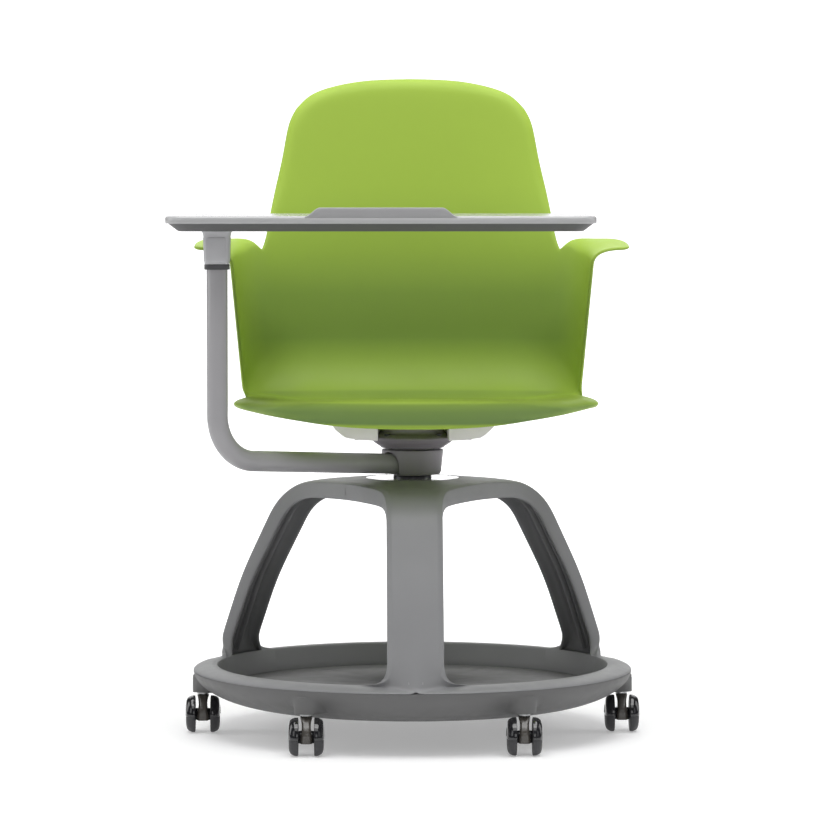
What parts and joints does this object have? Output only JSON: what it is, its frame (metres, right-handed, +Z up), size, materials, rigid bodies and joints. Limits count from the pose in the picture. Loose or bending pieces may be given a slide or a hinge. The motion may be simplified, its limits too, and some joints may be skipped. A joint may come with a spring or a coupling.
{
  "type": "student desk chair",
  "caption": "Swivel student chair with a one-piece bucket shell, a side-mounted swinging writing tablet, and a domed rolling base that holds a storage dish.",
  "frame": {"origin": "on the floor under the seat's swivel axis, at the level the casters stand on", "axes": "+Z up along the swivel axis, -Y the way the sitter faces, +X on the right of someone who looks at the chair from the front"},
  "size_m": [0.6327, 0.5946, 0.89],
  "materials": {
    "base_frame": "fine grained moulded plastic, satin",
    "storage_pan": "fine grained moulded plastic, matte",
    "pan_screws": "zinc plated",
    "hub_plate": "polished",
    "column": "machined, dark",
    "column_circlip": "zinc plated",
    "column_washer": "machined, dark",
    "column_bolt": "machined, dark",
    "lower_thrust_washer": "natural acetal",
    "caster_1_stem": "zinc plated",
    "caster_2_stem": "zinc plated",
    "caster_3_stem": "zinc plated",
    "caster_4_stem": "zinc plated",
    "caster_5_stem": "zinc plated",
    "caster_6_stem": "zinc plated",
    "seat_hub": "moulded, satin",
    "seat_bearing": "natural acetal",
    "upper_thrust_washer": "natural acetal",
    "seat_bracket": "powder coated, satin",
    "hub_screws": "zinc plated",
    "shell": "fine grained moulded plastic, satin",
    "shell_screws": "zinc plated",
    "arm_hub": "cast and machined",
    "arm_bush": "natural acetal",
    "arm_collar": "moulded, satin",
    "arm_tube": "powder coated, satin",
    "post_cap": "moulded, satin",
    "pivot_pin": "machined, dark",
    "tablet_socket": "moulded, satin",
    "socket_bush": "natural acetal",
    "tablet_top": "fine grained moulded plastic, satin",
    "tablet_underside": "moulded, matte",
    "tablet_screws": "zinc plated",
    "caster_1_housing": "polished black",
    "caster_1_axle": "zinc plated",
    "caster_1_wheel_left": "moulded tread, matte",
    "caster_1_wheel_right": "moulded tread, matte",
    "caster_2_housing": "polished black",
    "caster_2_axle": "zinc plated",
    "caster_2_wheel_left": "moulded tread, matte",
    "caster_2_wheel_right": "moulded tread, matte",
    "caster_3_housing": "polished black",
    "caster_3_axle": "zinc plated",
    "caster_3_wheel_left": "moulded tread, matte",
    "caster_3_wheel_right": "moulded tread, matte",
    "caster_4_housing": "polished black",
    "caster_4_axle": "zinc plated",
    "caster_4_wheel_left": "moulded tread, matte",
    "caster_4_wheel_right": "moulded tread, matte",
    "caster_5_housing": "polished black",
    "caster_5_axle": "zinc plated",
    "caster_5_wheel_left": "moulded tread, matte",
    "caster_5_wheel_right": "moulded tread, matte",
    "caster_6_housing": "polished black",
    "caster_6_axle": "zinc plated",
    "caster_6_wheel_left": "moulded tread, matte",
    "caster_6_wheel_right": "moulded tread, matte"
  },
  "bodies": {
    "base": {"base_frame": "base_frame", "storage_pan": "storage_pan", "pan_screws": "pan_screws", "hub_plate": "hub_plate", "column": "column", "column_circlip": "column_circlip", "column_washer": "column_washer", "column_bolt": "column_bolt", "lower_thrust_washer": "lower_thrust_washer", "caster_1_stem": "caster_1_stem", "caster_2_stem": "caster_2_stem", "caster_3_stem": "caster_3_stem", "caster_4_stem": "caster_4_stem", "caster_5_stem": "caster_5_stem", "caster_6_stem": "caster_6_stem"},
    "seat": {"seat_hub": "seat_hub", "seat_bearing": "seat_bearing", "upper_thrust_washer": "upper_thrust_washer", "seat_bracket": "seat_bracket", "hub_screws": "hub_screws", "shell": "shell", "shell_screws": "shell_screws"},
    "arm": {"arm_hub": "arm_hub", "arm_bush": "arm_bush", "arm_collar": "arm_collar", "arm_tube": "arm_tube", "post_cap": "post_cap", "pivot_pin": "pivot_pin"},
    "tablet": {"tablet_socket": "tablet_socket", "socket_bush": "socket_bush", "tablet_top": "tablet_top", "tablet_underside": "tablet_underside", "tablet_screws": "tablet_screws"},
    "caster_1": {"caster_1_housing": "caster_1_housing", "caster_1_axle": "caster_1_axle"},
    "wheel_left_1": {"caster_1_wheel_left": "caster_1_wheel_left"},
    "wheel_right_1": {"caster_1_wheel_right": "caster_1_wheel_right"},
    "caster_2": {"caster_2_housing": "caster_2_housing", "caster_2_axle": "caster_2_axle"},
    "wheel_left_2": {"caster_2_wheel_left": "caster_2_wheel_left"},
    "wheel_right_2": {"caster_2_wheel_right": "caster_2_wheel_right"},
    "caster_3": {"caster_3_housing": "caster_3_housing", "caster_3_axle": "caster_3_axle"},
    "wheel_left_3": {"caster_3_wheel_left": "caster_3_wheel_left"},
    "wheel_right_3": {"caster_3_wheel_right": "caster_3_wheel_right"},
    "caster_4": {"caster_4_housing": "caster_4_housing", "caster_4_axle": "caster_4_axle"},
    "wheel_left_4": {"caster_4_wheel_left": "caster_4_wheel_left"},
    "wheel_right_4": {"caster_4_wheel_right": "caster_4_wheel_right"},
    "caster_5": {"caster_5_housing": "caster_5_housing", "caster_5_axle": "caster_5_axle"},
    "wheel_left_5": {"caster_5_wheel_left": "caster_5_wheel_left"},
    "wheel_right_5": {"caster_5_wheel_right": "caster_5_wheel_right"},
    "caster_6": {"caster_6_housing": "caster_6_housing", "caster_6_axle": "caster_6_axle"},
    "wheel_left_6": {"caster_6_wheel_left": "caster_6_wheel_left"},
    "wheel_right_6": {"caster_6_wheel_right": "caster_6_wheel_right"}
  },
  "joints": [
    {"name": "seat_swivel", "type": "hinge", "parent": "base", "child": "seat", "pos_m": [0, 0, 0.393], "axis": [0, 0, 1], "continuous": true},
    {"name": "arm_swing", "type": "hinge", "parent": "seat", "child": "arm", "pos_m": [0, 0, 0.367], "axis": [0, 0, 1], "range_deg": [-14, 14]},
    {"name": "tablet_turn", "type": "hinge", "parent": "arm", "child": "tablet", "pos_m": [-0.25847, -0.20194, 0.66], "axis": [0, 0, 1], "range_deg": [-180, 0]},
    {"name": "caster_swivel_1", "type": "hinge", "parent": "base", "child": "caster_1", "pos_m": [0.14225, -0.24638, 0.045], "axis": [0, 0, 1], "continuous": true},
    {"name": "wheel_spin_left_1", "type": "hinge", "parent": "caster_1", "child": "wheel_left_1", "pos_m": [0.14225, -0.25738, 0.0245], "axis": [1, 0, 0], "continuous": true},
    {"name": "wheel_spin_right_1", "type": "hinge", "parent": "caster_1", "child": "wheel_right_1", "pos_m": [0.14225, -0.25738, 0.0245], "axis": [1, 0, 0], "continuous": true},
    {"name": "caster_swivel_2", "type": "hinge", "parent": "base", "child": "caster_2", "pos_m": [0.2845, 0, 0.045], "axis": [0, 0, 1], "continuous": true},
    {"name": "wheel_spin_left_2", "type": "hinge", "parent": "caster_2", "child": "wheel_left_2", "pos_m": [0.2845, -0.011, 0.0245], "axis": [1, 0, 0], "continuous": true},
    {"name": "wheel_spin_right_2", "type": "hinge", "parent": "caster_2", "child": "wheel_right_2", "pos_m": [0.2845, -0.011, 0.0245], "axis": [1, 0, 0], "continuous": true},
    {"name": "caster_swivel_3", "type": "hinge", "parent": "base", "child": "caster_3", "pos_m": [0.14225, 0.24638, 0.045], "axis": [0, 0, 1], "continuous": true},
    {"name": "wheel_spin_left_3", "type": "hinge", "parent": "caster_3", "child": "wheel_left_3", "pos_m": [0.14225, 0.23538, 0.0245], "axis": [1, 0, 0], "continuous": true},
    {"name": "wheel_spin_right_3", "type": "hinge", "parent": "caster_3", "child": "wheel_right_3", "pos_m": [0.14225, 0.23538, 0.0245], "axis": [1, 0, 0], "continuous": true},
    {"name": "caster_swivel_4", "type": "hinge", "parent": "base", "child": "caster_4", "pos_m": [-0.14225, 0.24638, 0.045], "axis": [0, 0, 1], "continuous": true},
    {"name": "wheel_spin_left_4", "type": "hinge", "parent": "caster_4", "child": "wheel_left_4", "pos_m": [-0.14225, 0.23538, 0.0245], "axis": [1, 0, 0], "continuous": true},
    {"name": "wheel_spin_right_4", "type": "hinge", "parent": "caster_4", "child": "wheel_right_4", "pos_m": [-0.14225, 0.23538, 0.0245], "axis": [1, 0, 0], "continuous": true},
    {"name": "caster_swivel_5", "type": "hinge", "parent": "base", "child": "caster_5", "pos_m": [-0.2845, 0, 0.045], "axis": [0, 0, 1], "continuous": true},
    {"name": "wheel_spin_left_5", "type": "hinge", "parent": "caster_5", "child": "wheel_left_5", "pos_m": [-0.2845, -0.011, 0.0245], "axis": [1, 0, 0], "continuous": true},
    {"name": "wheel_spin_right_5", "type": "hinge", "parent": "caster_5", "child": "wheel_right_5", "pos_m": [-0.2845, -0.011, 0.0245], "axis": [1, 0, 0], "continuous": true},
    {"name": "caster_swivel_6", "type": "hinge", "parent": "base", "child": "caster_6", "pos_m": [-0.14225, -0.24638, 0.045], "axis": [0, 0, 1], "continuous": true},
    {"name": "wheel_spin_left_6", "type": "hinge", "parent": "caster_6", "child": "wheel_left_6", "pos_m": [-0.14225, -0.25738, 0.0245], "axis": [1, 0, 0], "continuous": true},
    {"name": "wheel_spin_right_6", "type": "hinge", "parent": "caster_6", "child": "wheel_right_6", "pos_m": [-0.14225, -0.25738, 0.0245], "axis": [1, 0, 0], "continuous": true}
  ]
}
